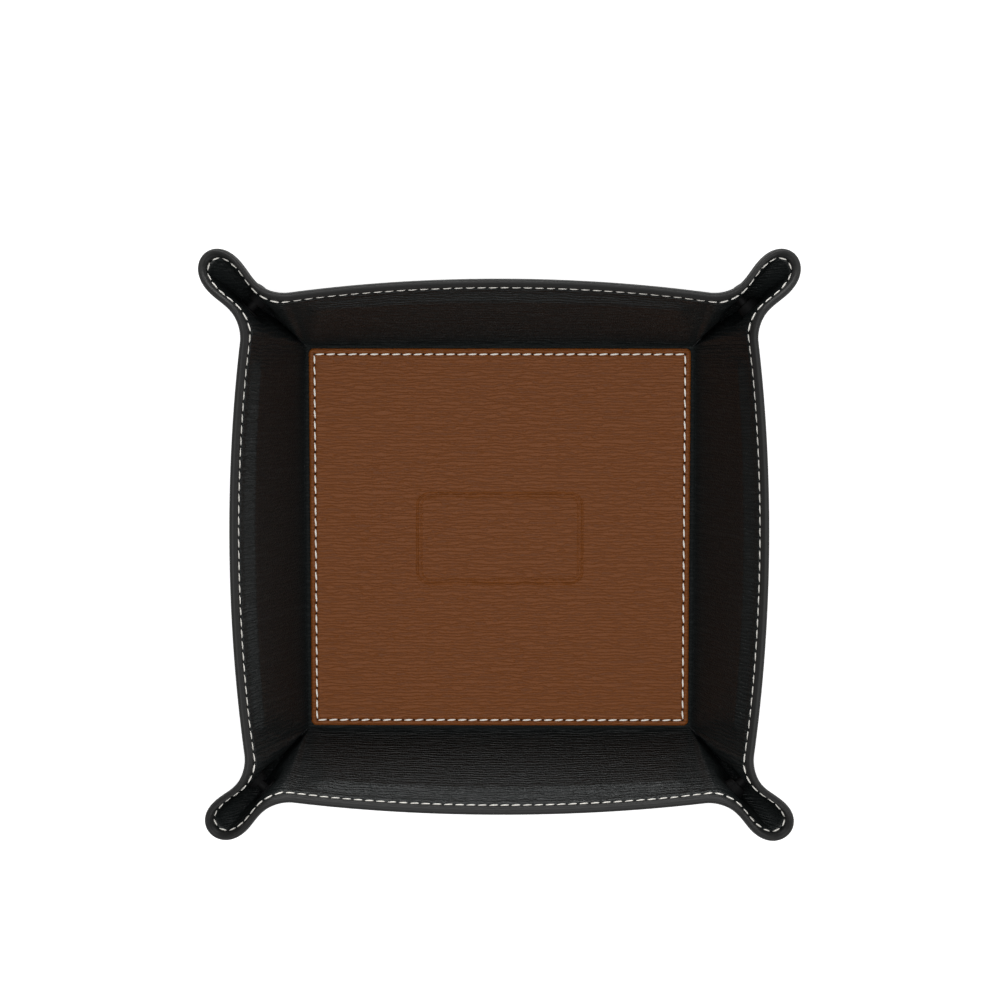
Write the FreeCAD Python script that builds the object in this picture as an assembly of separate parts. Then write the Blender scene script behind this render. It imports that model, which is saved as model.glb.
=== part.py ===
import FreeCAD
import Part
import math
import os

# Valet tray: a square sheet of lined leather, stiffened by boards, whose four walls stand up
# from the floor creases. Each corner of the sheet is pinched into an ear and held by a press stud.
# Millimetres and degrees. Z is up, the floor's underside is Z = 0, +Y is the back.

Vec = FreeCAD.Vector

# Tan floor panel
panel_side = 131.0
panel_thickness = 1.4
panel_corner_radius = 1.8
panel_edge_round = 0.45
panel_margin = 0.44

# Walls and the sheet they are folded from
wall_slant = 43.2
lean_middle = 28.5
lean_end = 22.5

# Layers of the sheet, from the outside in
skin_thickness = 1.1
lining_thickness = 1.1
floor_board_thickness = 2.0
floor_board_margin = 3.4
wall_board_thickness = 1.4
wall_board_height = 29.0
wall_board_margin = 5.5
board_step = 3.5

# Pinched ears, measured from the floor corner along the diagonal and out from the diagonal
ear_reach = 41.0
ear_tip_height = 32.0
ear_neck_reach = 19.5
ear_neck_half = 6.8
ear_belly_reach = 30.0
ear_belly_half = 7.45
ear_tip_radius = 6.7
ear_fold_half = 4.4
ear_root = 5.2
ear_root_thickness = 0.6
leaf_rulings = 8
fold_rulings = 4

# Press studs
snap_setback = 23.3
snap_rise = 11.8
snap_recess = 0.12
snap_web = 0.95
cap_diameter = 8.6
cap_height = 1.5
cap_dome = [(1, 0.35), (0.86, 0.7), (0.55, 0.93), (0, 1)]
socket_diameter = 7.6
socket_face_diameter = 6.2
socket_face_gap = 0.3
socket_side_height = 0.8
socket_floor_thickness = 0.7
stud_diameter = 4.0
stud_waist_diameter = 3.2
stud_tip_diameter = 3.2
stud_flange_height = 0.9
stud_tip_gap = 0.8
stud_nose_length = 0.9
stud_ball_length = 0.9
stud_bore_depth = 1.1
post_diameter = 2.6

# Clearances
crease_gap = 0.15
wall_end_gap = 0.35
seam_gap = 0.12
fold_gap = 0.3
seam_relief = 32.0
seat_gap = 0.15
fit_gap = 0.05
stud_gap = 0.35
board_gap = 0.05

rim_thickness = skin_thickness + lining_thickness
wall_thickness = rim_thickness + wall_board_thickness
floor_top = skin_thickness + floor_board_thickness + lining_thickness
miter = math.tan(math.radians(90 - lean_end) / 2)
half = panel_side / 2 + panel_margin + crease_gap + floor_top * miter
floor_side = 2 * half
corner = Vec(half, half, 0)
end_reach = wall_slant * math.sin(math.radians(lean_end)) / math.sqrt(2)
tip_ruling = math.hypot(ear_reach, ear_tip_height)
fold_reach = ear_reach - ear_tip_radius + math.sqrt(ear_tip_radius ** 2 - ear_fold_half ** 2)
root_share = ear_root / wall_slant
diagonal_normal = Vec(1, -1, 0).normalize()
walls = ["right", "back", "left", "front"]
turn_axis = Vec(0, 0, 1)


def export(name, solids):
    shape = solids[0] if len(solids) == 1 else Part.makeCompound(solids)
    shape.exportStep("parts/" + name + ".step")


def strip(rails):
    """Solid between a closed ring of rails, each joined to the next by a ruled face."""
    ring = rails + rails[:1]
    faces = [Part.makeRuledSurface(ring[i], ring[i + 1]) for i in range(len(rails))]
    for end in (0, -1):
        tips = [rail.Vertexes[end].Point for rail in rails]
        if len(tips) == 4:
            lower = Part.makeLine(tips[0], tips[1])
            upper = Part.makeLine(tips[3], tips[2])
            faces.append(Part.makeRuledSurface(lower, upper))
        else:
            faces.append(Part.Face(Part.makePolygon(tips + tips[:1])))
    shell = Part.makeShell(faces)
    shell.sewShape()
    solid = Part.makeSolid(shell)
    if solid.Volume < 0:
        solid.reverse()
    return solid


# Walls

def wall_point(along, slant, depth):
    """Point of the right wall: along the crease, up the slant, and in from the outer face."""
    end_share = (along / half) ** 2
    lean = math.radians(lean_middle + (lean_end - lean_middle) * end_share)
    x = half + slant * math.sin(lean) - depth * math.cos(lean)
    z = slant * math.cos(lean) + depth * math.sin(lean)
    return Vec(x, along, z)


def wall_rail(reach, slant, depth):
    """Parabolic rail along the wall, bowed outwards in the middle."""
    first = wall_point(-reach, slant, depth)
    middle = wall_point(0, slant, depth)
    last = wall_point(reach, slant, depth)
    pole = middle * 2 - (first + last) * 0.5
    curve = Part.BezierCurve()
    curve.setPoles([first, pole, last])
    return curve.toShape()


def crease_slant(depth):
    """Height up the slant where a layer starts, on the mitre between floor and wall."""
    return crease_gap + depth * miter


def wall_layer(reach, ring):
    return strip([wall_rail(reach, slant, depth) for slant, depth in ring])


def trim_to_quarter(solid):
    """Keep what lies on the right wall's side of both diagonal planes, clear of them by a gap."""
    far = 2 * half
    inset = fold_gap * math.sqrt(2)
    wedge = Part.makePolygon([
        Vec(inset, 0, -far),
        Vec(far, far - inset, -far),
        Vec(far, inset - far, -far),
        Vec(inset, 0, -far),
    ])
    return solid.common(Part.Face(wedge).extrude(Vec(0, 0, 2 * far))).Solids[0]


def wall_skin():
    reach = half - wall_end_gap
    return trim_to_quarter(wall_layer(reach, [
        (crease_slant(0), 0),
        (wall_slant, 0),
        (wall_slant, skin_thickness),
        (crease_slant(skin_thickness), skin_thickness),
    ]))


board_face = skin_thickness + wall_board_thickness
board_foot = crease_slant(board_face) + board_gap
board_top = board_foot + wall_board_height


def wall_board():
    outer = skin_thickness + board_gap
    inner = board_face - board_gap
    return wall_layer(half - wall_board_margin, [
        (board_foot, outer),
        (board_top, outer),
        (board_top, inner),
        (board_foot, inner),
    ])


def wall_lining():
    reach = half - wall_end_gap
    join = board_top + board_step
    return trim_to_quarter(wall_layer(reach, [
        (crease_slant(board_face), board_face),
        (board_top + board_gap, board_face),
        (join, skin_thickness),
        (wall_slant, skin_thickness),
        (wall_slant, rim_thickness),
        (join + lining_thickness * miter, rim_thickness),
        (board_top + lining_thickness * miter, wall_thickness),
        (crease_slant(wall_thickness), wall_thickness),
    ]))


# Ears

def ear_point(reach, side):
    """Point of the outer rim of an ear, at the end of a ruling from the floor corner."""
    share = (reach - end_reach) / (ear_reach - end_reach)
    ruling = wall_slant + share * (tip_ruling - wall_slant)
    height = math.sqrt(ruling ** 2 - reach ** 2 - side ** 2)
    return corner + Vec((reach + side) / math.sqrt(2), (reach - side) / math.sqrt(2), height)


def spline(points, first_tangent=None, last_tangent=None):
    curve = Part.BSplineCurve()
    if first_tangent is None:
        curve.interpolate(points)
    else:
        curve.interpolate(points, InitialTangent=first_tangent, FinalTangent=last_tangent)
    return curve


def leaf_rim():
    """Outer rim of a leaf, from the wall's end through the neck to the fold."""
    wall_end = ear_point(end_reach, end_reach)
    wall_heading = wall_end - wall_point(half - end_reach, wall_slant, 0)
    fold = ear_point(fold_reach, ear_fold_half)
    fold_heading = fold_rim().tangent(fold_rim().FirstParameter)[0]
    points = [
        wall_end,
        ear_point(ear_neck_reach, ear_neck_half),
        ear_point(ear_belly_reach, ear_belly_half),
        fold,
    ]
    length = sum((points[i + 1] - points[i]).Length for i in range(len(points) - 1))
    return spline(points, wall_heading.normalize() * length, fold_heading * length)


def fold_rim():
    """Outer rim of half the rounded fold, from the leaf to the diagonal."""
    fold_turn = math.asin(ear_fold_half / ear_tip_radius)
    turns = [fold_turn * share for share in (1, 0.5, 0, -0.5, -1)]
    centre = ear_reach - ear_tip_radius
    whole = spline([
        ear_point(centre + ear_tip_radius * math.cos(turn), ear_tip_radius * math.sin(turn))
        for turn in turns
    ])
    whole.segment(whole.FirstParameter, whole.parameter(ear_point(ear_reach, 0)))
    return whole


def fan_rails(rim, start, stop, depth, root_depth, count):
    """Rim rail and root rail of one face of a leaf, set in from the outer face by a depth."""
    rim_points = []
    root_points = []
    for i in range(count):
        distance = start + (stop - start) * i / (count - 1)
        parameter = rim.parameterAtDistance(distance, rim.FirstParameter)
        point = rim.value(parameter)
        inward = (point - corner).cross(rim.tangent(parameter)[0]).normalize()
        rim_points.append(point + inward * depth)
        root_points.append(corner + (point - corner) * root_share + inward * root_depth)
    return spline(rim_points).toShape(), spline(root_points).toShape()


def fan_layer(rim, outer, inner, relief, last_gap, count):
    """One layer of a leaf between two depths, with the seam at its start opened inwards."""
    rails = []
    for share in (outer, inner):
        depth = rim_thickness * share
        start = seam_gap + depth * relief
        rails.append(fan_rails(rim, start, rim.length() - last_gap, depth,
                               ear_root_thickness * share, count))
    (outer_rim, outer_root), (inner_rim, inner_root) = rails
    return strip([outer_root, outer_rim, inner_rim, inner_root])


skin_share = skin_thickness / rim_thickness


def leaf_layers():
    relief = math.tan(math.radians(seam_relief))
    rim = leaf_rim()
    skin = fan_layer(rim, 0, skin_share, relief, seam_gap, leaf_rulings)
    lining = fan_layer(rim, skin_share, 1, relief, seam_gap, leaf_rulings)
    return skin, lining


def fold_layers():
    rim = fold_rim()
    skin = fan_layer(rim, 0, skin_share, 0, 0, fold_rulings)
    lining = fan_layer(rim, skin_share, 1, 0, 0, fold_rulings)
    return [trim_to_quarter(skin), trim_to_quarter(lining)]


# Press studs, turned about an axis square to the diagonal plane

snap_reach = ear_reach - snap_setback
fold_height = snap_reach * ear_tip_height / ear_reach
snap_centre = Vec(half, half, fold_height + snap_rise) + Vec(1, 1, 0).normalize() * snap_reach
whole_skin, whole_lining = leaf_layers()
snap_line = Part.makeLine(snap_centre, snap_centre + diagonal_normal * wall_slant)
leaf_out = max((v.Point - snap_centre).Length for v in whole_skin.common(snap_line).Vertexes)
seat_out = leaf_out - snap_recess
snap_seat_half = seat_out - snap_web
socket_floor = snap_seat_half - socket_floor_thickness
stud_flange = snap_seat_half - stud_flange_height
stud_tip = stud_tip_gap - socket_floor
snap_placement = FreeCAD.Placement(snap_centre, FreeCAD.Rotation(Vec(0, 0, 1), diagonal_normal))


def turned(profile):
    """Solid of revolution from (radius, distance from the diagonal plane) points."""
    points = [Vec(radius, 0, level) for radius, level in profile]
    solid = Part.Face(Part.makePolygon(points + points[:1])).revolve(Vec(0, 0, 0), turn_axis, 360)
    solid.Placement = snap_placement
    return solid


def snap_head(post_end):
    """Domed head on the outside of a leaf, with the post that runs through it."""
    rim = cap_diameter / 2
    post = post_diameter / 2
    dome = [(rim * width, seat_out + cap_height * height) for width, height in cap_dome]
    return turned([(0, post_end), (post, post_end), (post, seat_out), (rim, seat_out)] + dome)


def snap_socket():
    rim = socket_diameter / 2
    bore = post_diameter / 2 + fit_gap
    mouth = stud_diameter / 2 + stud_gap
    return turned([
        (bore, snap_seat_half),
        (rim, snap_seat_half),
        (rim, snap_seat_half - socket_side_height),
        (socket_face_diameter / 2, socket_face_gap),
        (mouth, socket_face_gap),
        (mouth, socket_floor),
        (bore, socket_floor),
    ])


def snap_stud():
    rim = socket_diameter / 2
    bore = post_diameter / 2 + fit_gap
    waist = stud_waist_diameter / 2
    ball = stud_tip + stud_nose_length
    bore_end = stud_flange - stud_bore_depth
    return turned([
        (bore, snap_seat_half),
        (rim, snap_seat_half),
        (rim, stud_flange),
        (waist, stud_flange),
        (waist, ball + stud_ball_length),
        (stud_diameter / 2, ball),
        (stud_tip_diameter / 2, stud_tip),
        (0, stud_tip),
        (0, bore_end),
        (bore, bore_end),
    ])


def snap_seat():
    """Space that a press stud's half takes out of the leaf it is set in."""
    outside = Part.makeCylinder(cap_diameter / 2 + seat_gap, 2 * cap_height)
    outside.translate(Vec(0, 0, seat_out))
    inside = Part.makeCylinder(socket_diameter / 2 + seat_gap, snap_seat_half)
    bore = Part.makeCylinder(post_diameter / 2 + fit_gap, seat_out)
    space = outside.fuse([inside, bore])
    space.Placement = snap_placement
    return space


def mirrored(shape):
    """The same shape on the other side of the diagonal plane."""
    return shape.mirror(corner, diagonal_normal)


# Floor

def floor_plate(low, high):
    """Square plate between two heights, its edges on the mitre with the walls."""
    squares = []
    for level in (low, high):
        side = 2 * (half - crease_gap - level * miter)
        square = Part.makePlane(side, side, Vec(-side / 2, -side / 2, level))
        squares.append(square.OuterWire)
    return Part.makeLoft(squares, True, True)


def floor_board():
    side = floor_side - 2 * floor_board_margin
    board = Part.makeBox(side, side, floor_board_thickness)
    board.translate(Vec(-side / 2, -side / 2, skin_thickness))
    return board


def tan_panel():
    panel = Part.makeBox(panel_side, panel_side, panel_thickness)
    panel.translate(Vec(-panel_side / 2, -panel_side / 2, floor_top))
    upright = [edge for edge in panel.Edges if abs(edge.tangentAt(0).z) > 0.5]
    panel = panel.makeFillet(panel_corner_radius, upright)
    top = max(panel.Faces, key=lambda face: face.CenterOfMass.z)
    return panel.makeFillet(panel_edge_round, top.Edges)


# The whole tray

os.makedirs("parts", exist_ok=True)

export("base_skin", [floor_plate(0, skin_thickness)])
export("floor_board", [floor_board()])
export("floor_lining", [floor_plate(floor_top - lining_thickness, floor_top)])
export("tan_panel", [tan_panel()])

seat = snap_seat()
leaf_skin = whole_skin.cut(seat).Solids[0]
leaf_lining = whole_lining.cut(seat).Solids[0]
fold_sheet = fold_layers()
cap = snap_head(socket_floor)
socket = snap_socket()
post = snap_head(stud_flange)
stud = snap_stud()
wall_sheet = {"skin": wall_skin(), "board": wall_board(), "lining": wall_lining()}

for i, wall in enumerate(walls):
    next_wall = walls[(i + 1) % 4]
    ear = "_".join(sorted([wall, next_wall], key=["back", "front", "left", "right"].index))
    near = "leaf_" + wall + "_" + next_wall
    far = "leaf_" + next_wall + "_" + wall
    quarter_turn = 90 * i
    pieces = {"wall_" + wall + "_" + layer: [solid] for layer, solid in wall_sheet.items()}
    pieces[near + "_skin"] = [leaf_skin]
    pieces[near + "_lining"] = [leaf_lining]
    pieces[far + "_skin"] = [mirrored(leaf_skin)]
    pieces[far + "_lining"] = [mirrored(leaf_lining)]
    pieces["fold_" + wall + "_" + next_wall] = fold_sheet
    pieces["fold_" + next_wall + "_" + wall] = [mirrored(solid) for solid in fold_sheet]
    pieces["snap_cap_" + ear] = [cap]
    pieces["snap_socket_" + ear] = [socket]
    pieces["snap_post_" + ear] = [mirrored(post)]
    pieces["snap_stud_" + ear] = [mirrored(stud)]
    for name, solids in pieces.items():
        export(name, [solid.rotated(Vec(0, 0, 0), turn_axis, quarter_turn) for solid in solids])
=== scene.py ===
import math

import bpy
import numpy as np
from mathutils import Matrix, Vector


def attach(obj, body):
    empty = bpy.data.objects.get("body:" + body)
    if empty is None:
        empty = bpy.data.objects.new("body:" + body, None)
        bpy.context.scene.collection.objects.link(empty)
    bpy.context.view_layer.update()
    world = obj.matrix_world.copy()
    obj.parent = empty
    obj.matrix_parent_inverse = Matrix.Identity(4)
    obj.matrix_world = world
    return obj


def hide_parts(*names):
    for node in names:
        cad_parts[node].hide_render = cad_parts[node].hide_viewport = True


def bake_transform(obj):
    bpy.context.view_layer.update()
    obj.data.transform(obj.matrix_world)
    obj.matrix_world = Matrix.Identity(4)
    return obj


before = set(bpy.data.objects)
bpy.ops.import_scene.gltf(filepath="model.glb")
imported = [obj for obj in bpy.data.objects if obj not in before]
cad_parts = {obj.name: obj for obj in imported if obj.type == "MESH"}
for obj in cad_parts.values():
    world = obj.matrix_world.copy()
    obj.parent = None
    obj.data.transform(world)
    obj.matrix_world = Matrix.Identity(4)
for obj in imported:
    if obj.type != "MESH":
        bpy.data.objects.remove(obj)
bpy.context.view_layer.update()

# Leather sheet: black grained leather and its lining, glued back to back, sewn along a rounded painted
# edge and folded up from the floor. Each corner of the sheet is pinched into an ear, so all its bends
# run out from the floor's corner. Sizes are millimetres, but metres in materials.
floor_half = 68.896
floor_top = 4.2
slant = 43.2
lean_middle = math.radians(29.2)
lean_end = math.radians(22.5)
sheet_thickness = 2.2
ear_reach = 41.0
ear_tip_height = 32.0
ear_tip_radius = 6.7
ear_fold_half = 4.4
ear_neck = (19.5, 6.8)
ear_belly = (30.0, 7.45)
corner = np.array([floor_half, floor_half, 0.0])
root2 = math.sqrt(2)
end_reach = slant * math.sin(lean_end) / root2
tip_ruling = math.hypot(ear_reach, ear_tip_height)


def unit(vectors):
    return vectors / np.linalg.norm(vectors, axis=-1, keepdims=True)


def soft_step(x):
    """Rises smoothly from 0 to 1 as x does, and is level outside."""
    x = np.clip(x, 0, 1)
    return x * x * (3 - 2 * x)


def bell(x, middle, width):
    return np.exp(-((x - middle) / width) ** 2)


def ear_rim(reach, side):
    """Outer rim of an ear, by the distance along its diagonal and out from it."""
    reach, side = np.broadcast_arrays(np.asarray(reach, float), np.asarray(side, float))
    ruling = slant + (reach - end_reach) / (ear_reach - end_reach) * (tip_ruling - slant)
    height = np.sqrt(ruling ** 2 - reach ** 2 - side ** 2)
    return corner + np.stack([(reach + side) / root2, (reach - side) / root2, height], -1)


def wall_rim(along):
    """Outer rim of the right wall, bowed outwards in the middle."""
    lean = lean_middle + (lean_end - lean_middle) * (along / floor_half) ** 2
    return np.stack([floor_half + slant * np.sin(lean), along, slant * np.cos(lean)], -1)


def distance_along(points):
    return np.r_[0, np.cumsum(np.linalg.norm(np.diff(points, axis=0), axis=1))]


def read_along(run, vectors, at):
    """Vectors at the given distances along a line."""
    return np.stack([np.interp(at, run, vectors[:, c]) for c in range(3)], -1)


def smooth_path(points, first, last, count):
    """Points on a smooth curve through the given ones, with its two end headings."""
    knots = distance_along(points)
    size = len(points)
    system = np.eye(size)
    right = np.zeros((size, 3))
    right[0], right[-1] = first, last
    for i in range(1, size - 1):
        before, after = knots[i] - knots[i - 1], knots[i + 1] - knots[i]
        system[i, i - 1:i + 2] = 1 / before, 2 / before + 2 / after, 1 / after
        right[i] = 3 * (points[i] - points[i - 1]) / before ** 2
        right[i] += 3 * (points[i + 1] - points[i]) / after ** 2
    slope = np.linalg.solve(system, right)
    t = np.linspace(0, knots[-1], count)
    i = np.clip(np.searchsorted(knots, t, "right") - 1, 0, size - 2)
    span = (knots[i + 1] - knots[i])[:, None]
    s = (t - knots[i])[:, None] / span
    return (
        (2 * s ** 3 - 3 * s ** 2 + 1) * points[i]
        + (s ** 3 - 2 * s ** 2 + s) * span * slope[i]
        + (3 * s ** 2 - 2 * s ** 3) * points[i + 1]
        + (s ** 3 - s ** 2) * span * slope[i + 1]
    )


def even_path(points, count):
    """The same curve with evenly spaced points."""
    run = distance_along(points)
    return read_along(run, points, np.linspace(0, run[-1], count))


# One eighth of the rim, from the right wall's middle to the tip of the back right ear, in columns.
# Past the wall's end the columns fan out from the corner, first over a leaf and then over a fold.
wall_columns = 101
leaf_columns = 58
fold_columns = 12
turning_columns = 11
leaf_samples = 600
fold_samples = 200
fold_angles = np.linspace(math.asin(ear_fold_half / ear_tip_radius), 0, fold_samples)
fold_curve = ear_rim(
    ear_reach - ear_tip_radius + ear_tip_radius * np.cos(fold_angles),
    ear_tip_radius * np.sin(fold_angles),
)
wall_end = wall_rim(np.array(floor_half))
leaf_curve = smooth_path(
    np.stack([wall_end, ear_rim(*ear_neck), ear_rim(*ear_belly), fold_curve[0]]),
    unit(wall_end - wall_rim(np.array(floor_half - end_reach))),
    unit(fold_curve[1] - fold_curve[0]),
    leaf_samples,
)
wall_along = np.linspace(0, floor_half, wall_columns)
rim = np.concatenate([
    wall_rim(wall_along),
    even_path(leaf_curve, leaf_columns)[1:],
    even_path(fold_curve, fold_columns)[1:],
])
columns = len(rim)
column = np.arange(columns)
fan_start = wall_columns - 1
crease_column = fan_start + leaf_columns - 1
fold_start = crease_column - turning_columns
before_middle = rim[1] * [1, -1, 1]
after_tip = rim[-2][[1, 0, 2]]
rim_heading = unit(np.r_[rim[1:], [after_tip]] - np.r_[[before_middle], rim[:-1]])

# Each column runs straight down from the rim to the sheet's foot at the floor. The lining's foot
# stands in from the skin's, and at the ears it gathers towards the corner.
foot_middle = 66.95
foot_end = 66.5
foot_gather = 0.85
is_wall = column <= fan_start
along = np.where(is_wall, rim[:, 1], floor_half)
outer_foot = np.stack([np.full(columns, floor_half), along, np.zeros(columns)], -1)
foot = foot_middle + (foot_end - foot_middle) * (along / floor_half) ** 2
inner_foot = np.stack([foot, along * foot / floor_half, np.full(columns, floor_top)], -1)
gathered = foot_gather * soft_step((column - fan_start) / (fold_start - fan_start))
inner_foot = inner_foot + (outer_foot - inner_foot) * gathered[:, None]
ruling = unit(rim - outer_foot)
ruling_length = np.linalg.norm(rim - outer_foot, axis=1)
inward = unit(np.cross(ruling, rim_heading))
inner_rim = rim + inward * sheet_thickness
turn = np.r_[0, np.arccos(np.clip(np.sum(ruling[1:] * ruling[:-1], axis=1), -1, 1))]
fan_angle = np.cumsum(np.where(column > fan_start, turn, 0))

# Relief of the two faces: a rolled hem, a groove along the sewing line, the step over the board's top
# edge, pleats at an ear's root, and leaves that curl in below the rim.
stitch_inset = 3.45
groove_width = 0.42
lining_groove = 0.34
skin_groove = 0.3
ear_groove_loss = 0.7
hem_start = 0.9
hem_width = 2.3
lining_hem = 0.3
skin_hem = 0.12
ear_hem_loss = 0.8
swell_inset = 4.9
swell_width = 0.7
swell_height = 0.12
board_thickness = 1.4
board_step_start = 4.6
board_step_length = 6.8
board_foot_length = 6.0
board_end_gap = 3.0
board_end_length = 7.0
ridge_inset = 11.2
ridge_width = 1.2
ridge_height = 0.1
pleat_height = 0.34
pleat_rate = 17
pleat_phase = 0.6
pleat_first_angle = 0.2
pleat_start = 1.5
pleat_rise = 4
pleat_end = 21
pleat_fall = 9
flare_depth = 1.0
flare_length = 9.0
flare_root_length = 14.0
flare_first_columns = 8
flare_last_columns = 12
board_end = soft_step((floor_half - board_end_gap - along) / board_end_length) * is_wall
flared = soft_step((column - fan_start) / flare_first_columns)
flared = flared * soft_step((crease_column - column) / flare_last_columns)


def hem_roll(down):
    return np.sin(np.pi * np.clip((down - hem_start) / hem_width, 0, 1)) ** 2


def flare(down):
    """How far a leaf curls in below its rim, so that the rim opens outwards."""
    curl = flare_depth * flared[:, None] * soft_step(down / flare_length)
    return curl * soft_step((ruling_length[:, None] - down) / flare_root_length)


def inner_relief(down):
    """How far the lining stands off the straight sheet, by the distance below the rim."""
    root = ruling_length[:, None] - down
    foot_depth = np.sum((inner_foot - outer_foot) * inward, axis=1)
    straight = sheet_thickness + (foot_depth - sheet_thickness)[:, None] * down / ruling_length[:, None]
    rise = np.clip((down - board_step_start) / board_step_length, 0, 1)
    boarded = sheet_thickness + board_thickness * (rise + soft_step(rise)) / 2
    relief = (boarded - straight) * board_end[:, None] * soft_step(root / board_foot_length)
    relief += ridge_height * bell(down, ridge_inset, ridge_width) * board_end[:, None]
    relief += lining_hem * hem_roll(down) * (1 - ear_hem_loss * flared[:, None])
    groove = lining_groove * bell(down, stitch_inset, groove_width)
    relief -= groove * (1 - ear_groove_loss * flared[:, None])
    relief += swell_height * bell(down, swell_inset, swell_width)
    pleats = pleat_height * np.sin(fan_angle[:, None] * pleat_rate + pleat_phase)
    pleats = pleats * soft_step((root - pleat_start) / pleat_rise)
    pleats = pleats * soft_step((pleat_end - root) / pleat_fall)
    return relief + pleats * soft_step(fan_angle[:, None] / pleat_first_angle) + flare(down)


def inner_face(down):
    share = 1 - down / ruling_length[:, None]
    straight = inner_foot[:, None] + (inner_rim - inner_foot)[:, None] * share[..., None]
    return straight + inward[:, None] * inner_relief(down)[..., None]


def outer_face(down):
    share = 1 - down / ruling_length[:, None]
    straight = outer_foot[:, None] + (rim - outer_foot)[:, None] * share[..., None]
    relief = skin_groove * bell(down, stitch_inset, groove_width) - skin_hem * hem_roll(down)
    return straight + inward[:, None] * (relief + flare(down))[..., None]


# Rows of the mesh, close together near the rim and even below, and a half round painted edge with a
# fine seam where skin and lining meet.
rows_near_rim = np.array([
    1.35, 1.65, 2.0, 2.35, 2.65, 2.9, 3.1, 3.28, 3.45, 3.62, 3.8, 4.0, 4.25, 4.55, 4.9,
    5.3, 5.8, 6.4, 7.1, 7.8, 8.4, 9.0, 9.6, 10.2, 10.7, 11.2, 11.7, 12.2, 12.8, 13.5,
])
rows_below = 26
foot_round = 0.9
ear_root_gap = 0.7
edge_radius = sheet_thickness / 2
edge_seam_depth = 0.17
edge_seam_width = 0.13
last_near = rows_near_rim[-1]
root_gap = np.where(is_wall, foot_round, ear_root_gap)
below = np.linspace(0, 1, rows_below + 1)[1:]
deep_rows = last_near + (ruling_length - last_near - root_gap)[:, None] * below
face_down = np.concatenate([np.broadcast_to(rows_near_rim, (columns, len(rows_near_rim))), deep_rows], 1)
edge_turn = np.array([
    0, 0.22, 0.45, 0.7, 0.95, 1.15, 1.3, 1.42, 1.5708, 1.72, 1.84, 1.99, 2.19, 2.44, 2.69, 2.92, math.pi,
])
edge_seam = edge_seam_depth * bell(edge_turn, math.pi / 2, edge_seam_width)
edge_dip = edge_radius * (1 - np.sin(edge_turn)) + edge_seam
edge_depth = edge_radius * (1 + np.cos(edge_turn))
edge = rim[:, None] + inward[:, None] * edge_depth[:, None] - ruling[:, None] * edge_dip[:, None]

# The press stud draws each leaf in round its seat.
stud_reach = 17.7
stud_height = 25.61
stud_seat_inside = 3.4
stud_seat_outside = 4.35
stud_flat_radius = 4.6
stud_pull_length = 5.0
stud_pull_side = 2.6
across_ear = np.array([1, -1, 0]) / root2


def drawn_in(points, seat):
    offset = points - corner
    reach = (offset[..., 0] + offset[..., 1]) / root2
    side = (offset[..., 0] - offset[..., 1]) / root2
    from_stud = np.hypot(reach - stud_reach, offset[..., 2] - stud_height)
    pull = 1 - soft_step((from_stud - stud_flat_radius) / stud_pull_length)
    pull = pull * soft_step(side / stud_pull_side) * ~is_wall[:, None]
    return points + ((seat - side) * pull)[..., None] * across_ear


lining = drawn_in(inner_face(face_down)[:, ::-1], stud_seat_inside)
skin = drawn_in(outer_face(face_down), stud_seat_outside)
face_ring = np.concatenate([lining, edge, skin], 1)

# The grain follows the flat sheet, so each point keeps its place there. The finish is 0 on leather, 1
# on the painted edge, and -1 on the strip of floor between a wall and the panel, which marks painted
# shade there for the shadow of the panel's edge.
painted_rows = 5
painted_share = 0.85
edge_down = np.broadcast_to(edge_dip, (columns, len(edge_dip)))
reach_ring = ruling_length[:, None] - np.concatenate([face_down[:, ::-1], edge_down, face_down], 1)
pattern = np.stack([
    floor_half + reach_ring * np.cos(fan_angle)[:, None],
    along[:, None] + reach_ring * np.sin(fan_angle)[:, None],
], -1)
edge_first = lining.shape[1]
edge_last = edge_first + edge.shape[1]
finish_ring = np.zeros(face_ring.shape[:2])
finish_ring[:, edge_first - painted_rows:edge_last + painted_rows] = painted_share
finish_ring[:, edge_first:edge_last] = 1


def ring_normals(points):
    across = np.gradient(points, axis=0)
    round_ring = np.roll(points, -1, 1) - np.roll(points, 1, 1)
    return unit(np.cross(round_ring, across) + 1e-12)


mirror = np.array([1, -1, 1])


def spun(quarter):
    """Turn from the right wall to another one."""
    return Matrix.Rotation(math.radians(90 * quarter), 3, "Z")


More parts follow.
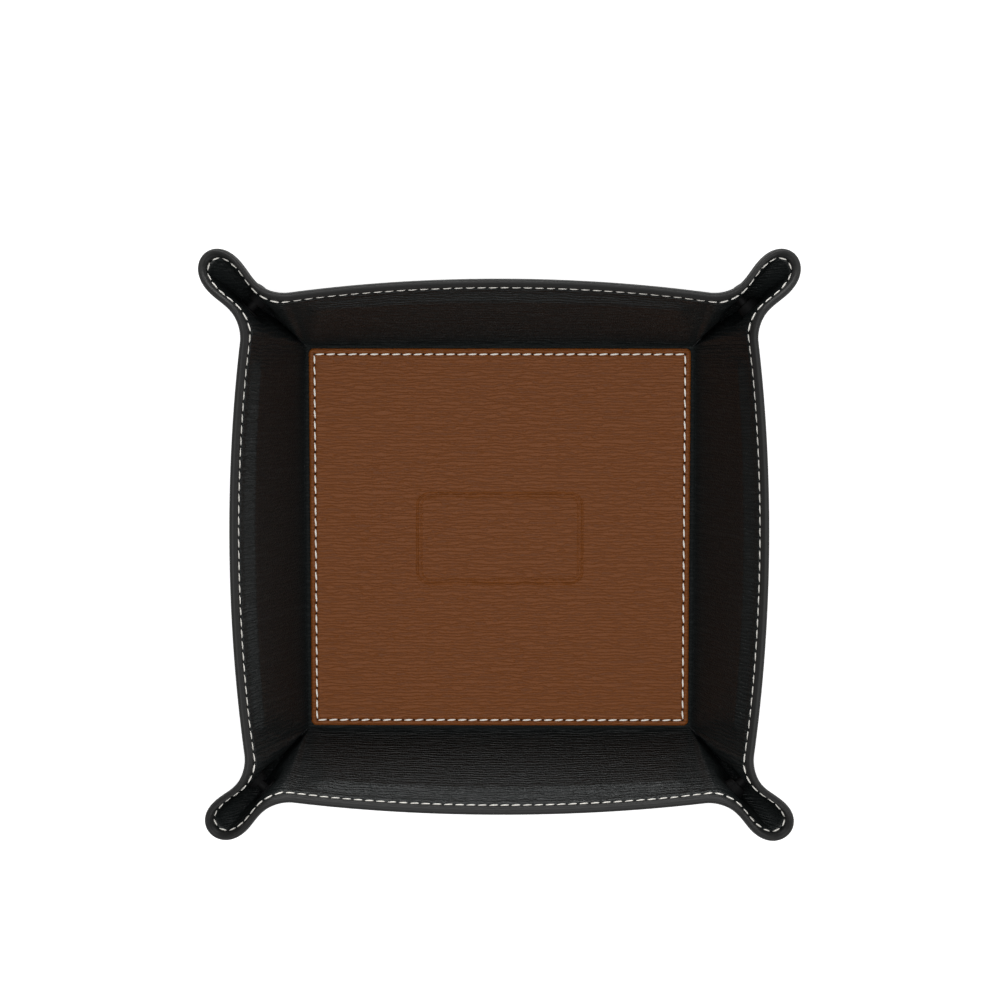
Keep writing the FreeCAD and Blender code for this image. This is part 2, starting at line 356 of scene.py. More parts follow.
def leather_mesh(name, points, normals, flat, finish_and_shade, quarter, flipped):
    """Closed tube of leather through rings of points, with its cut ends capped."""
    spin = np.array(spun(quarter))
    if flipped:
        points, normals, flat = points * mirror, normals * mirror, flat * mirror[:2]
    points = points @ spin.T / 1000
    normals = normals @ spin.T
    flat = flat @ spin[:2, :2].T / 1000
    rings, size = points.shape[:2]
    index = np.arange(rings * size).reshape(rings, size)
    following = np.roll(index, -1, 1)
    quads = np.stack([index[:-1], following[:-1], following[1:], index[1:]], -1).reshape(-1, 4)
    first, last = index[0][::-1], index[-1]
    if flipped:
        quads, first, last = quads[:, ::-1], first[::-1], last[::-1]
    mesh = bpy.data.meshes.new(name)
    mesh.from_pydata(points.reshape(-1, 3).tolist(), [], quads.tolist() + [first.tolist(), last.tolist()])
    mesh.polygons.foreach_set("use_smooth", [True] * len(quads) + [False, False])
    loop_vertex = np.zeros(len(mesh.loops), np.int32)
    mesh.loops.foreach_get("vertex_index", loop_vertex)
    loop_normals = normals.reshape(-1, 3)[loop_vertex]
    side_loops = quads.size
    loop_normals[side_loops:side_loops + size] = mesh.polygons[-2].normal
    loop_normals[side_loops + size:] = mesh.polygons[-1].normal
    sheet_map = mesh.uv_layers.new(name="sheet")
    sheet_map.data.foreach_set("uv", flat.reshape(-1, 2)[loop_vertex].astype(np.float32).ravel())
    layer = mesh.attributes.new("finish_and_shade", "FLOAT", "POINT")
    layer.data.foreach_set("value", finish_and_shade.reshape(-1).astype(np.float32))
    mesh.normals_split_custom_set(loop_normals.tolist())
    piece = bpy.data.objects.new(name, mesh)
    bpy.context.scene.collection.objects.link(piece)
    return piece


def shader(material):
    """A material's nodes, its links and its main shader."""
    material.use_nodes = True
    nodes = material.node_tree.nodes
    return nodes, material.node_tree.links, nodes["Principled BSDF"]


def toned(material, factor, low, high):
    """Colour that goes from low to high, each a colour or another node's output."""
    links = material.node_tree.links
    tone = material.node_tree.nodes.new("ShaderNodeMix")
    tone.data_type = "RGBA"
    links.new(factor, tone.inputs["Factor"])
    for name, colour in (("A", low), ("B", high)):
        if isinstance(colour, tuple):
            tone.inputs[name].default_value = colour
        else:
            links.new(colour, tone.inputs[name])
    return tone.outputs["Result"]


def grained(material, bsdf, coordinates, grain_length, grain_pitch, depth, furrow):
    """Fine wavy grain along X, broken up by pores, as bump and as a value from 0 to 1. The furrow is the
    part of a wave over which the grain rises."""
    nodes, links = material.node_tree.nodes, material.node_tree.links
    pore = (0.35, 0.65)
    layers = []
    for kind, lengthwise, (low, high) in (("ShaderNodeTexWave", grain_length, furrow),
                                          ("ShaderNodeTexNoise", grain_pitch, pore)):
        place = nodes.new("ShaderNodeMapping")
        place.inputs["Scale"].default_value = (1 / lengthwise, 1 / grain_pitch, 1 / grain_pitch)
        links.new(coordinates, place.inputs["Vector"])
        texture = nodes.new(kind)
        links.new(place.outputs["Vector"], texture.inputs["Vector"])
        ridges = nodes.new("ShaderNodeMapRange")
        ridges.interpolation_type = "SMOOTHSTEP"
        ridges.inputs["From Min"].default_value = low
        ridges.inputs["From Max"].default_value = high
        links.new(texture.outputs["Fac"], ridges.inputs["Value"])
        layers.append(ridges.outputs["Result"])
        if kind == "ShaderNodeTexWave":
            texture.bands_direction = "Y"
            texture.inputs["Scale"].default_value = math.pi / 10
            texture.inputs["Distortion"].default_value = 7.0
            texture.inputs["Detail"].default_value = 2.0
            texture.inputs["Detail Scale"].default_value = 2.6
        else:
            texture.inputs["Scale"].default_value = 2.2
            texture.inputs["Detail"].default_value = 1.0
    relief = nodes.new("ShaderNodeMix")
    relief.inputs["Factor"].default_value = 0.3
    links.new(layers[0], relief.inputs["A"])
    links.new(layers[1], relief.inputs["B"])
    bump = nodes.new("ShaderNodeBump")
    bump.inputs["Strength"].default_value = 1.0
    bump.inputs["Distance"].default_value = depth
    links.new(relief.outputs["Result"], bump.inputs["Height"])
    links.new(bump.outputs["Normal"], bsdf.inputs["Normal"])
    return relief.outputs["Result"], bump


black_furrow = (0.0072, 0.0087, 0.0088, 1)
black_ridge = (0.0125, 0.0145, 0.0146, 1)
painted_edge = (0.018, 0.018, 0.0176, 1)
leather_roughness = 0.31
edge_roughness = 0.52
edge_grain = 0.12
leather_gloss = 0.2
# Gloss kept almost at nothing on the strip of floor beside each wall, as painted shade for the panel's
# edge.
painted_shade_gloss = 0.02
black_leather = bpy.data.materials.new("black_grained_leather")
nodes, links, bsdf = shader(black_leather)
sheet_place = nodes.new("ShaderNodeUVMap")
sheet_place.uv_map = "sheet"
grain, grain_bump = grained(
    black_leather, bsdf, sheet_place.outputs["UV"],
    grain_length=0.0065, grain_pitch=0.0013, depth=0.00022, furrow=(0.2, 0.95))
finish_and_shade = nodes.new("ShaderNodeAttribute")
finish_and_shade.attribute_name = "finish_and_shade"


def by_finish_and_shade(first, last, low, high):
    """A value that runs from low to high as the finish runs from first to last; below 0 the finish marks
    painted shade.
    """
    node = nodes.new("ShaderNodeMapRange")
    node.inputs["From Min"].default_value = first
    node.inputs["From Max"].default_value = last
    node.inputs["To Min"].default_value = low
    node.inputs["To Max"].default_value = high
    links.new(finish_and_shade.outputs["Fac"], node.inputs["Value"])
    return node.outputs["Result"]


leather_tone = toned(black_leather, grain, black_furrow, black_ridge)
edge_tone = toned(black_leather, finish_and_shade.outputs["Fac"], leather_tone, painted_edge)
links.new(edge_tone, bsdf.inputs["Base Color"])
links.new(by_finish_and_shade(0, 1, leather_roughness, edge_roughness), bsdf.inputs["Roughness"])
links.new(by_finish_and_shade(0, 1, 1.0, edge_grain), grain_bump.inputs["Strength"])
# Painted shade: the gloss falls almost to nothing on the floor strip beside each wall, standing for the
# shadow there.
links.new(by_finish_and_shade(-1, 0, painted_shade_gloss, leather_gloss), bsdf.inputs["Specular IOR Level"])

# Walls: the four sides of the sheet, each stiffened by its board and bowed outwards a little. A wall
# turns up from the floor in a soft crease, with no other hinge.
walls = ["right", "back", "left", "front"]
floor_edge = 64.3
bend_steps = 5


def curve_between(start, bend, end):
    t = np.linspace(0, 1, bend_steps + 1)[:, None, None]
    points = (1 - t) ** 2 * start + 2 * t * (1 - t) * bend + t ** 2 * end
    return points.transpose(1, 0, 2)


def floor_line(distance, height):
    distance = np.broadcast_to(distance, wall_columns)
    return np.stack([distance, wall_along / floor_half * distance, np.full(wall_columns, height)], -1)


def both_halves(values, flip):
    return np.concatenate([values[:0:-1] * flip, values])


def follow_crease(piece):
    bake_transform(piece)


upright = face_ring[:wall_columns]
inner_bend = curve_between(
    floor_line(foot[:wall_columns] - foot_round, floor_top), inner_foot[:wall_columns], upright[:, 0])
outer_bend = curve_between(
    upright[:, -1], outer_foot[:wall_columns], floor_line(floor_half - foot_round, 0))
wall_half = np.concatenate([
    floor_line(floor_edge, floor_top)[:, None],
    inner_bend[:, :-1],
    upright,
    outer_bend[:, 1:],
    floor_line(floor_edge, 0)[:, None],
], 1)
floor_rows = bend_steps + 1
wall_pattern = np.concatenate([
    wall_half[:, :floor_rows, :2],
    pattern[:wall_columns],
    wall_half[:, -floor_rows:, :2],
], 1)
# The floor rows inside a wall carry -1, painted shade on the strip beside the panel; the outer floor rows
# carry 0.
wall_finish_and_shade = np.concatenate([
    np.full((wall_columns, floor_rows), -1.0),
    finish_ring[:wall_columns],
    np.zeros((wall_columns, floor_rows)),
], 1)
wall_ring = both_halves(wall_half, mirror)
wall_normals = ring_normals(wall_ring)
joined = unit(wall_normals[-1, floor_rows:-floor_rows] + ring_normals(face_ring[fan_start:])[0])
wall_normals[-1, floor_rows:-floor_rows] = joined
wall_normals[0, floor_rows:-floor_rows] = joined * mirror
for quarter, wall in enumerate(walls):
    piece = leather_mesh(
        "sheet_wall_" + wall, wall_ring, wall_normals, both_halves(wall_pattern, mirror[:2]),
        both_halves(wall_finish_and_shade, 1), quarter, False)
    piece.data.materials.append(black_leather)
    follow_crease(piece)
    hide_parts("wall_%s_skin" % wall, "wall_%s_lining" % wall)

# Ears: each corner of the sheet has two leaves that a press stud holds together, and a rounded fold at
# the tip, made in two halves. Leaf and fold run on a little behind what they meet, out of sight, so
# that no slit opens between them when the walls come down.
leaf_lap_columns = 5
lap_depth = 0.15
fold_lap = 0.9
leaf_used = np.r_[fan_start:fold_start + 1, fold_start:fold_start + leaf_lap_columns]
fold_used = np.r_[fold_start:columns, columns - 1, columns - 1]
fan_normals = ring_normals(face_ring)
fan_normals[-1] = unit(fan_normals[-1] - (fan_normals[-1] @ across_ear)[:, None] * across_ear)
leaf_ring = face_ring[leaf_used]
leaf_normals = fan_normals[leaf_used]
leaf_normals[0] = joined
leaf_ring[-leaf_lap_columns:] -= leaf_normals[-leaf_lap_columns:] * lap_depth
fold_ring = face_ring[fold_used]
fold_normals = fan_normals[fold_used]
fold_ring[-2:] -= fold_normals[-2:] * lap_depth
fold_ring[-1] -= across_ear * fold_lap
fold_line = unit(rim[crease_column] - corner)
fold_across = rim_heading[crease_column]
fold_across = unit(fold_across - (fold_across @ fold_line) * fold_line)


def follow_leaf(piece, wall, other, quarter, flipped):
    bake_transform(piece)


def follow_fold(piece, wall, other, quarter, flipped):
    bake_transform(piece)


ends = []
for quarter, wall in enumerate(walls):
    ends.append((quarter, wall, walls[(quarter + 1) % 4], False))
    ends.append((quarter, wall, walls[quarter - 1], True))
for quarter, wall, other, flipped in ends:
    end = wall + "_" + other
    leaf = leather_mesh(
        "sheet_leaf_" + end, leaf_ring, leaf_normals, pattern[leaf_used], finish_ring[leaf_used],
        quarter, flipped)
    leaf.data.materials.append(black_leather)
    follow_leaf(leaf, wall, other, quarter, flipped)
    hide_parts("leaf_%s_skin" % end, "leaf_%s_lining" % end)
    fold = leather_mesh(
        "sheet_fold_" + end, fold_ring, fold_normals, pattern[fold_used], finish_ring[fold_used],
        quarter, flipped)
    fold.data.materials.append(black_leather)
    follow_fold(fold, wall, other, quarter, flipped)
    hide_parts("fold_" + end)

# Floor: the middle of the same sheet, lying flat over its board, with the lining glued on top. A tab at
# each corner runs on a little way under the ear, so that no gap shows there when the walls open.
tab_reach = 69.2
tab_overlap = 2.0
tab_thickness = 0.9
tab_drop = 0.06
corner_signs = ((-1, -1), (1, -1), (1, 1), (-1, 1))
side = floor_edge / 1000
top = floor_top / 1000
floor_points = [(x * side, y * side, z) for z in (0, top) for x, y in corner_signs]
box_faces = [(3, 2, 1, 0), (4, 5, 6, 7), (0, 1, 5, 4), (1, 2, 6, 5), (2, 3, 7, 6), (3, 0, 4, 7)]
floor_faces = list(box_faces)
tab_levels = ((floor_top - tab_thickness) / 1000, (floor_top - tab_drop) / 1000)
inner, outer = (floor_edge - tab_overlap) / 1000, tab_reach / 1000
for x, y in corner_signs:
    start = len(floor_points)
    square = [(inner, inner), (outer, inner), (outer, outer), (inner, outer)]
    square = square if x * y > 0 else square[::-1]
    floor_points += [(a * x, b * y, z) for z in tab_levels for a, b in square]
    floor_faces += [tuple(start + i for i in face) for face in box_faces]
floor_mesh = bpy.data.meshes.new("sheet_floor")
floor_mesh.from_pydata(floor_points, [], floor_faces)
floor_map = floor_mesh.uv_layers.new(name="sheet")
for loop in floor_mesh.loops:
    floor_map.data[loop.index].uv = floor_points[loop.vertex_index][:2]
sheet_floor = bpy.data.objects.new("sheet_floor", floor_mesh)
bpy.context.scene.collection.objects.link(sheet_floor)
sheet_floor.data.materials.append(black_leather)
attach(sheet_floor, "base")
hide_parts("base_skin", "floor_lining")

# Tan panel: a square of tan grained leather on a thin stiffener, with turned and pressed edges, sewn
# close to its edge and glued to the floor. A plain blank double frame is pressed into its middle.
panel_half = 65.5
panel_bottom = floor_top
panel_height = 1.4
panel_corner = 1.8
panel_edge_drop = 0.75
panel_edge_width = 0.8
panel_stitch_inset = 2.0
panel_stitches = 34
frame_half = (28.4, 15.6)
frame_corner = 4.2

# Inset, height and width of the roll at the panel's edge, of the stitch groove and of the swell inside
# it, then inset, width and depth of the frame's two lines.
panel_waves = ((1.0, 0.1, 0.45), (panel_stitch_inset, -0.3, 0.4), (3.2, 0.07, 0.8))
frame_lines = ((0.0, 0.3, 0.3), (1.35, 0.2, 0.2))

# The grid's lines lie close together over the frame and towards the panel's edge.
grid_step = 1.0
grid_step_inside_frame = 0.9
grid_step_on_frame = 0.2
grid_step_at_edge = 0.18
frame_band_x = (23.5, 29.6)
frame_band_y = (10.8, 16.8)
edge_band = 62.0


def spread(*stretches):
    """Grid lines from pairs of end and spacing, mirrored about the middle."""
    lines, at = [0.0], 0.0
    for end, spacing in stretches:
        steps = max(1, round((end - at) / spacing))
        lines += list(at + (end - at) * np.arange(1, steps + 1) / steps)
        at = end
    lines = np.array(lines)
    return np.r_[-lines[:0:-1], lines]


def rounded_square(x, y, half_x, half_y, radius):
    """Signed distance to a rounded rectangle, below zero inside."""
    dx, dy = np.abs(x) - half_x + radius, np.abs(y) - half_y + radius
    return np.hypot(np.maximum(dx, 0), np.maximum(dy, 0)) + np.minimum(np.maximum(dx, dy), 0) - radius


to_edge = ((edge_band, grid_step), (panel_half, grid_step_at_edge))
lines_x = spread((frame_band_x[0], grid_step), (frame_band_x[1], grid_step_on_frame), *to_edge)
lines_y = spread((frame_band_y[0], grid_step_inside_frame), (frame_band_y[1], grid_step_on_frame), *to_edge)
grid_x, grid_y = np.meshgrid(lines_x, lines_y, indexing="ij")
grid = np.stack([grid_x, grid_y], -1)
pull_in = np.maximum(rounded_square(grid_x, grid_y, panel_half, panel_half, panel_corner), 0)
core = grid - np.sign(grid) * np.maximum(np.abs(grid) - panel_half + panel_corner, 0)
outward = grid - core
reach_out = np.maximum(np.linalg.norm(outward, axis=-1, keepdims=True), 1e-9)
flat_xy = core + outward / reach_out * (reach_out - pull_in[..., None])
inset = -rounded_square(flat_xy[..., 0], flat_xy[..., 1], panel_half, panel_half, panel_corner)
inset = np.maximum(inset, 0)
edge_arc = np.sqrt(1 - (1 - np.minimum(inset / panel_edge_width, 1)) ** 2)
top_level = panel_height - panel_edge_drop + panel_edge_drop * edge_arc
for wave_inset, wave_height, wave_width in panel_waves:
    top_level += wave_height * bell(inset, wave_inset, wave_width)
for line_inset, line_width, line_depth in frame_lines:
    to_line = rounded_square(
        grid_x, grid_y, frame_half[0] - line_inset, frame_half[1] - line_inset, frame_corner - line_inset)
    top_level -= line_depth * bell(to_line, 0, line_width)
top_points = np.concatenate([flat_xy, (panel_bottom + top_level)[..., None]], -1).reshape(-1, 3)
index = np.arange(grid_x.size).reshape(grid_x.shape)
top_faces = np.stack([index[:-1, :-1], index[1:, :-1], index[1:, 1:], index[:-1, 1:]], -1).reshape(-1, 4)
border = np.r_[index[:-1, 0], index[-1, :-1], index[:0:-1, -1], index[0, :0:-1]]
skirt_points = top_points[border] * [1, 1, 0] + [0, 0, panel_bottom]
skirt = len(top_points) + np.arange(len(border))
side_faces = np.stack([border, skirt, np.roll(skirt, -1), np.roll(border, -1)], -1)
panel_mesh = bpy.data.meshes.new("panel")
panel_mesh.from_pydata((np.r_[top_points, skirt_points] / 1000).tolist(), [],
                       top_faces.tolist() + side_faces.tolist() + [skirt[::-1].tolist()])
panel_mesh.polygons.foreach_set("use_smooth", [True] * (len(top_faces) + len(side_faces)) + [False])
panel = bpy.data.objects.new("panel", panel_mesh)
bpy.context.scene.collection.objects.link(panel)

tan_furrow = (0.127, 0.0365, 0.0057, 1)
tan_ridge = (0.172, 0.0503, 0.0083, 1)
# Painted shade: the dark brown standing for the shadow down in each needle hole on the panel.
needle_hole_shade = (0.012, 0.005, 0.003, 1)
hole_radius = 0.00022
hole_fade = 0.0005
tan_leather = bpy.data.materials.new("tan_grained_leather")
nodes, links, bsdf = shader(tan_leather)
panel_place = nodes.new("ShaderNodeTexCoord")
grain, grain_bump = grained(
    tan_leather, bsdf, panel_place.outputs["Object"],
    grain_length=0.005, grain_pitch=0.0011, depth=0.00017, furrow=(0.05, 0.6))
split = nodes.new("ShaderNodeSeparateXYZ")
links.new(panel_place.outputs["Object"], split.inputs["Vector"])


def arithmetic(operation, first, second):
    node = nodes.new("ShaderNodeMath")
    node.operation = operation
    for socket, value in ((node.inputs[0], first), (node.inputs[1], second)):
        if isinstance(value, (int, float)):
            socket.default_value = value
        else:
            links.new(value, socket)
    return node.outputs["Value"]


# Painted shade: a dark brown dot between each pair of stitches on the panel stands for the shade inside the
# needle hole.
hole_line = (panel_half - panel_stitch_inset) / 1000
from_middle_x = arithmetic("ABSOLUTE", split.outputs["X"], 0)
from_middle_y = arithmetic("ABSOLUTE", split.outputs["Y"], 0)
beside = arithmetic("SUBTRACT", arithmetic("MAXIMUM", from_middle_x, from_middle_y), hole_line)
between = arithmetic("MINIMUM", from_middle_x, from_middle_y)
between = arithmetic("PINGPONG", between, hole_line / panel_stitches)
to_hole = arithmetic("ADD", arithmetic("POWER", beside, 2), arithmetic("POWER", between, 2))
hole = nodes.new("ShaderNodeMapRange")
hole.interpolation_type = "SMOOTHSTEP"
hole.inputs["From Min"].default_value = hole_radius
hole.inputs["From Max"].default_value = hole_fade
links.new(arithmetic("SQRT", to_hole, 0), hole.inputs["Value"])
tan_tone = toned(tan_leather, grain, tan_furrow, tan_ridge)
links.new(toned(tan_leather, hole.outputs["Result"], needle_hole_shade, tan_tone), bsdf.inputs["Base Color"])
bsdf.inputs["Roughness"].default_value = 0.45
bsdf.inputs["Specular IOR Level"].default_value = 0.15
panel.data.materials.append(tan_leather)
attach(panel, "base")
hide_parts("tan_panel")

# Rim thread: one cream sewing thread in a lock stitch, run round the whole rim and the ears, a few
# millimetres below the edge. It shows on the lining and on the outside alike.
rim_stitch_pitch = 3.85
rim_stitch_length = 3.0
rim_thread_width = 0.56
rim_stitch_slant = 0.1
stitch_unevenness = 0.04
thread_lift = 0.12
thread_fleck = 0.0004
thread_relief = 0.00005


def sewing_line():
    """Node tree that lays one stitch on each point, along its heading and square to the leather."""
    tree = bpy.data.node_groups.new("sewing_line", "GeometryNodeTree")
    face = tree.interface
    face.new_socket("Geometry", in_out="INPUT", socket_type="NodeSocketGeometry")
    for name in ("Stitch Length", "Thread Width", "Slant", "Unevenness"):
        face.new_socket(name, in_out="INPUT", socket_type="NodeSocketFloat")
    face.new_socket("Thread", in_out="INPUT", socket_type="NodeSocketMaterial")
    face.new_socket("Geometry", in_out="OUTPUT", socket_type="NodeSocketGeometry")
    add, join = tree.nodes.new, tree.links.new
    given, made = add("NodeGroupInput"), add("NodeGroupOutput")
    ball = add("GeometryNodeMeshUVSphere")
    ball.inputs["Segments"].default_value = 8
    ball.inputs["Rings"].default_value = 7
    ball.inputs["Radius"].default_value = 0.5
    lie = add("GeometryNodeTransform")
    lie.inputs["Rotation"].default_value = (0, math.pi / 2, 0)
    size = add("ShaderNodeCombineXYZ")
    stretch = add("GeometryNodeTransform")
    join(ball.outputs["Mesh"], lie.inputs["Geometry"])
    join(lie.outputs["Geometry"], stretch.inputs["Geometry"])
    join(given.outputs["Stitch Length"], size.inputs["X"])
    join(given.outputs["Thread Width"], size.inputs["Y"])
    join(given.outputs["Thread Width"], size.inputs["Z"])
    join(size.outputs["Vector"], stretch.inputs["Scale"])
    heading, facing = add("GeometryNodeInputNamedAttribute"), add("GeometryNodeInputNamedAttribute")
    for node, name in ((heading, "heading"), (facing, "facing")):
        node.data_type = "FLOAT_VECTOR"
        node.inputs["Name"].default_value = name
    run, turn_up = add("FunctionNodeAlignRotationToVector"), add("FunctionNodeAlignRotationToVector")
    run.axis = "X"
    turn_up.axis, turn_up.pivot_axis = "Z", "X"
    join(heading.outputs["Attribute"], run.inputs["Vector"])
    join(run.outputs["Rotation"], turn_up.inputs["Rotation"])
    join(facing.outputs["Attribute"], turn_up.inputs["Vector"])
    jitter, tilt, lean = add("FunctionNodeRandomValue"), add("ShaderNodeMath"), add("ShaderNodeCombineXYZ")
    jitter.data_type = "FLOAT"
    jitter.inputs["Min"].default_value = -1.0
    jitter.inputs["Seed"].default_value = 7
    tilt.operation = "MULTIPLY_ADD"
    join(jitter.outputs["Value"], tilt.inputs[0])
    join(given.outputs["Unevenness"], tilt.inputs[1])
    join(given.outputs["Slant"], tilt.inputs[2])
    join(tilt.outputs["Value"], lean.inputs["Z"])
    swing = add("FunctionNodeRotateRotation")
    swing.rotation_space = "LOCAL"
    to_rotation = add("FunctionNodeEulerToRotation")
    join(lean.outputs["Vector"], to_rotation.inputs["Euler"])
    join(turn_up.outputs["Rotation"], swing.inputs["Rotation"])
    join(to_rotation.outputs["Rotation"], swing.inputs["Rotate By"])
    lay, whole = add("GeometryNodeInstanceOnPoints"), add("GeometryNodeRealizeInstances")
    smooth, coat = add("GeometryNodeSetShadeSmooth"), add("GeometryNodeSetMaterial")
    join(given.outputs["Geometry"], lay.inputs["Points"])
    join(stretch.outputs["Geometry"], lay.inputs["Instance"])
    join(swing.outputs["Rotation"], lay.inputs["Rotation"])
    join(lay.outputs["Instances"], smooth.inputs["Geometry"])
    join(smooth.outputs["Geometry"], whole.inputs["Geometry"])
    join(whole.outputs["Geometry"], coat.inputs["Geometry"])
    join(given.outputs["Thread"], coat.inputs["Material"])
    join(coat.outputs["Geometry"], made.inputs["Geometry"])
    return tree


stitch_tree = sewing_line()


def sewn(name, spots, headings, facings, stitch):
    """Stitches at the given spots, as one plain mesh. The stitch holds the tree's named inputs."""
    points = bpy.data.meshes.new(name + "_spots")
    points.from_pydata([tuple(spot) for spot in spots / 1000], [], [])
    for label, vectors in (("heading", headings), ("facing", facings)):
        layer = points.attributes.new(label, "FLOAT_VECTOR", "POINT")
        layer.data.foreach_set("vector", np.array(vectors, np.float32).ravel())
    holder = bpy.data.objects.new(name, points)
    bpy.context.scene.collection.objects.link(holder)
    line = holder.modifiers.new("sewing", "NODES")
    line.node_group = stitch_tree
    for socket in stitch_tree.interface.items_tree:
        if socket.in_out == "INPUT" and socket.name in stitch:
            line[socket.identifier] = stitch[socket.name]
    graph = bpy.context.evaluated_depsgraph_get()
    made = bpy.data.meshes.new_from_object(holder.evaluated_get(graph))
    holder.modifiers.remove(line)
    holder.data = made
    made.name = name
    return holder


def mottled(material, bsdf, low, high, fleck, depth):
    """Two tones and a slight unevenness, in flecks of the given size in metres."""
    nodes, links = material.node_tree.nodes, material.node_tree.links
    place, flecks = nodes.new("ShaderNodeTexCoord"), nodes.new("ShaderNodeTexNoise")
    flecks.inputs["Scale"].default_value = 1 / fleck
    flecks.inputs["Detail"].default_value = 2.0
    links.new(place.outputs["Object"], flecks.inputs["Vector"])
    links.new(toned(material, flecks.outputs["Fac"], low, high), bsdf.inputs["Base Color"])
    bump = nodes.new("ShaderNodeBump")
    bump.inputs["Distance"].default_value = depth
    links.new(flecks.outputs["Fac"], bump.inputs["Height"])
    links.new(bump.outputs["Normal"], bsdf.inputs["Normal"])


thread_shade = (0.72, 0.69, 0.63, 1)
thread_light = (0.92, 0.905, 0.86, 1)
cream_thread = bpy.data.materials.new("cream_thread")
nodes, links, bsdf = shader(cream_thread)
mottled(cream_thread, bsdf, thread_shade, thread_light, thread_fleck, thread_relief)
bsdf.inputs["Roughness"].default_value = 0.75
bsdf.inputs["Specular IOR Level"].default_value = 0.25
rim_stitch = {
    "Stitch Length": rim_stitch_length / 1000,
    "Thread Width": rim_thread_width / 1000,
    "Slant": rim_stitch_slant,
    "Unevenness": stitch_unevenness,
    "Thread": cream_thread,
}
stitch_line = np.full((columns, 1), stitch_inset)
for side_name, line_points, facing_sign in (
    ("inside", inner_face(stitch_line)[:, 0], 1),
    ("outside", outer_face(stitch_line)[:, 0], -1),
):
    run = distance_along(line_points)
    count = round(run[-1] / rim_stitch_pitch)
    at = (np.arange(count) + 0.5) * run[-1] / count
    ways = unit(read_along(run, np.gradient(line_points, run, axis=0), at))
    faces = unit(read_along(run, inward, at)) * facing_sign
    spots = read_along(run, line_points, at) + faces * thread_lift
    on_wall = at <= run[fan_start]
    on_fold = at > run[fold_start]
    on_leaf = ~on_wall & ~on_fold
    for quarter, wall in enumerate(walls):
        spin = np.array(spun(quarter))
        turned = [np.concatenate([v[on_wall] * mirror, v[on_wall]]) @ spin.T for v in (spots, ways, faces)]
        stitches = sewn("rim_thread_%s_wall_%s" % (side_name, wall), *turned, rim_stitch)
        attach(stitches, "wall_" + wall)
    for quarter, wall, other, flipped in ends:
        spin = np.array(spun(quarter))
        turned = [(v * mirror if flipped else v) @ spin.T for v in (spots, ways, faces)]
        for part_name, chosen, follow in (("leaf", on_leaf, follow_leaf), ("fold", on_fold, follow_fold)):
            name = "rim_thread_%s_%s_%s_%s" % (side_name, part_name, wall, other)
            stitches = sewn(name, *[v[chosen] for v in turned], rim_stitch)
            follow(stitches, wall, other, quarter, flipped)

# Panel thread: the same cream thread in a lock stitch, sewn round the tan panel just inside its edge.
# It lies partly sunk in a groove that its own pull has made.
panel_stitch_length = 2.95
panel_thread_width = 0.64
panel_stitch_slant = 0.09
panel_thread_sink = 0.18
line_half = panel_half - panel_stitch_inset
line_height = panel_bottom + panel_height - panel_thread_sink
steps = (np.arange(panel_stitches) + 0.5) / panel_stitches * 2 * line_half - line_half
one_side = np.stack([np.full(panel_stitches, line_half), steps, np.full(panel_stitches, line_height)], -1)
one_way = np.tile([0.0, 1.0, 0.0], (panel_stitches, 1))
spins = [np.array(spun(quarter)) for quarter in range(4)]
spots = np.concatenate([one_side @ spin.T for spin in spins])
ways = np.concatenate([one_way @ spin.T for spin in spins])
panel_stitch = rim_stitch | {
    "Stitch Length": panel_stitch_length / 1000,
    "Thread Width": panel_thread_width / 1000,
    "Slant": panel_stitch_slant,
}
panel_thread = sewn("panel_thread", spots, ways, np.tile([0.0, 0.0, 1.0], (len(spots), 1)), panel_stitch)
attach(panel_thread, "base")

# Press studs: black coated metal, a domed head outside each leaf, with a socket on one leaf and a
# stud on the other that snap together inside the ear.
stud_shade = (0.004, 0.004, 0.0042, 1)
stud_light = (0.0062, 0.0062, 0.0064, 1)
stud_fleck = 0.0006
stud_relief = 0.00001
stud_metal = bpy.data.materials.new("black_coated_metal")
nodes, links, bsdf = shader(stud_metal)
mottled(stud_metal, bsdf, stud_shade, stud_light, stud_fleck, stud_relief)
bsdf.inputs["Roughness"].default_value = 0.6
bsdf.inputs["Specular IOR Level"].default_value = 0.08


def coated(node, material):
    node.data.materials.clear()
    node.data.materials.append(material)


for name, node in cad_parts.items():
    if name.startswith("snap"):
        coated(node, stud_metal)

# Boards: pressed grey fibre board, cut to shape and glued in between skin and lining in the walls and
# the floor, where it stays hidden.
board_shade = (0.17, 0.14, 0.11, 1)
board_light = (0.27, 0.22, 0.17, 1)
board_fleck = 0.0012
board_relief = 0.00005
fibre_board = bpy.data.materials.new("grey_fibre_board")
nodes, links, bsdf = shader(fibre_board)
mottled(fibre_board, bsdf, board_shade, board_light, board_fleck, board_relief)
bsdf.inputs["Roughness"].default_value = 0.9
for name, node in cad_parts.items():
    if name.endswith("board"):
        coated(node, fibre_board)

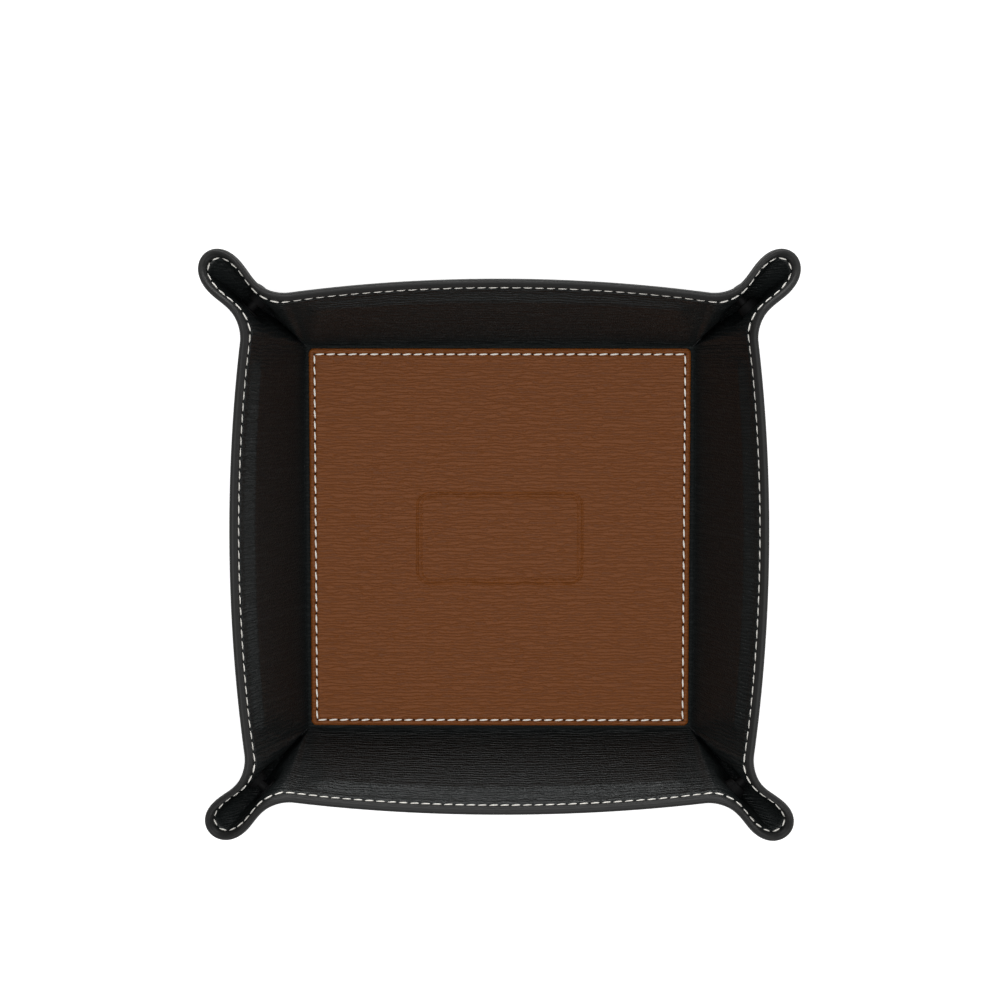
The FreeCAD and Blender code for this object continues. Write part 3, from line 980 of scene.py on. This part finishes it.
# Studio: a plain white table, soft light from above and low soft lights behind the tray, to its
# right and, faintest, in front of it. Sizes here are metres and watts.
table_half = 4
table_glow = 0.56
low_light_distance = 1.1
low_light_height = 0.13
low_light_size = (1.6, 0.2)
low_light_target = (0, 0, 0.03)
low_lights = (("light_behind", 0, 1, 15), ("light_right", 1, 0, 3.6), ("light_front", 0, -1, 1.8))
room_light = 0.18
table_mesh = bpy.data.meshes.new("table")
table_mesh.from_pydata([(x * table_half, y * table_half, 0) for x, y in corner_signs], [], [(0, 1, 2, 3)])
table = bpy.data.objects.new("table", table_mesh)
bpy.context.scene.collection.objects.link(table)
table_white = bpy.data.materials.new("table_white")
nodes, links, bsdf = shader(table_white)
bsdf.inputs["Base Color"].default_value = (0.9, 0.9, 0.9, 1)
bsdf.inputs["Roughness"].default_value = 0.9
bsdf.inputs["Specular IOR Level"].default_value = 0.0
rays = nodes.new("ShaderNodeLightPath")
seen = arithmetic("MAXIMUM", rays.outputs["Is Camera Ray"], rays.outputs["Is Glossy Ray"])
glow = nodes.new("ShaderNodeEmission")
glow.inputs["Color"].default_value = (1, 1, 1, 1)
links.new(arithmetic("MULTIPLY", seen, table_glow), glow.inputs["Strength"])
both = nodes.new("ShaderNodeAddShader")
links.new(bsdf.outputs["BSDF"], both.inputs[0])
links.new(glow.outputs["Emission"], both.inputs[1])
links.new(both.outputs["Shader"], nodes["Material Output"].inputs["Surface"])
table.data.materials.append(table_white)


def soft_light(name, place, target, size, power):
    lamp = bpy.data.lights.new(name, "AREA")
    lamp.shape = "RECTANGLE"
    lamp.size, lamp.size_y = size
    lamp.energy = power
    holder = bpy.data.objects.new(name, lamp)
    bpy.context.scene.collection.objects.link(holder)
    holder.location = place
    holder.rotation_euler = (Vector(target) - Vector(place)).to_track_quat("-Z", "Y").to_euler()


soft_light("light_above", (0, 0, 1.5), (0, 0, 0), (1.6, 1.2), 20)
for name, x, y, power in low_lights:
    place = (x * low_light_distance, y * low_light_distance, low_light_height)
    soft_light(name, place, low_light_target, low_light_size, power)
world = bpy.data.worlds.new("studio")
bpy.context.scene.world = world
world.use_nodes = True
nodes, links = world.node_tree.nodes, world.node_tree.links
nodes["Background"].inputs["Color"].default_value = (1, 1, 1, 1)
rays, sky = nodes.new("ShaderNodeLightPath"), nodes.new("ShaderNodeMapRange")
sky.inputs["To Min"].default_value = room_light
sky.inputs["To Max"].default_value = 1.0
links.new(rays.outputs["Is Camera Ray"], sky.inputs["Value"])
links.new(sky.outputs["Result"], nodes["Background"].inputs["Strength"])

# Camera: a long lens almost straight above the tray, a little towards its back. The tray's front is at
# the bottom of the picture.
camera_place = Vector((0.00558, 0.09629, 0.82593))
camera_target = Vector((0.00005, 0.01282, 0))
camera = bpy.data.cameras.new("camera")
camera.sensor_width = 36
camera.lens = 86.19
camera.clip_start = 0.05
camera_holder = bpy.data.objects.new("camera", camera)
bpy.context.scene.collection.objects.link(camera_holder)
sight = (camera_target - camera_place).normalized()
across = sight.cross(Vector((0, 1, 0))).normalized()
facing = Matrix((across, across.cross(sight), -sight)).transposed().to_4x4()
camera_holder.matrix_world = Matrix.Translation(camera_place) @ facing
bpy.context.scene.camera = camera_holder
bpy.context.scene.view_settings.view_transform = "Standard"
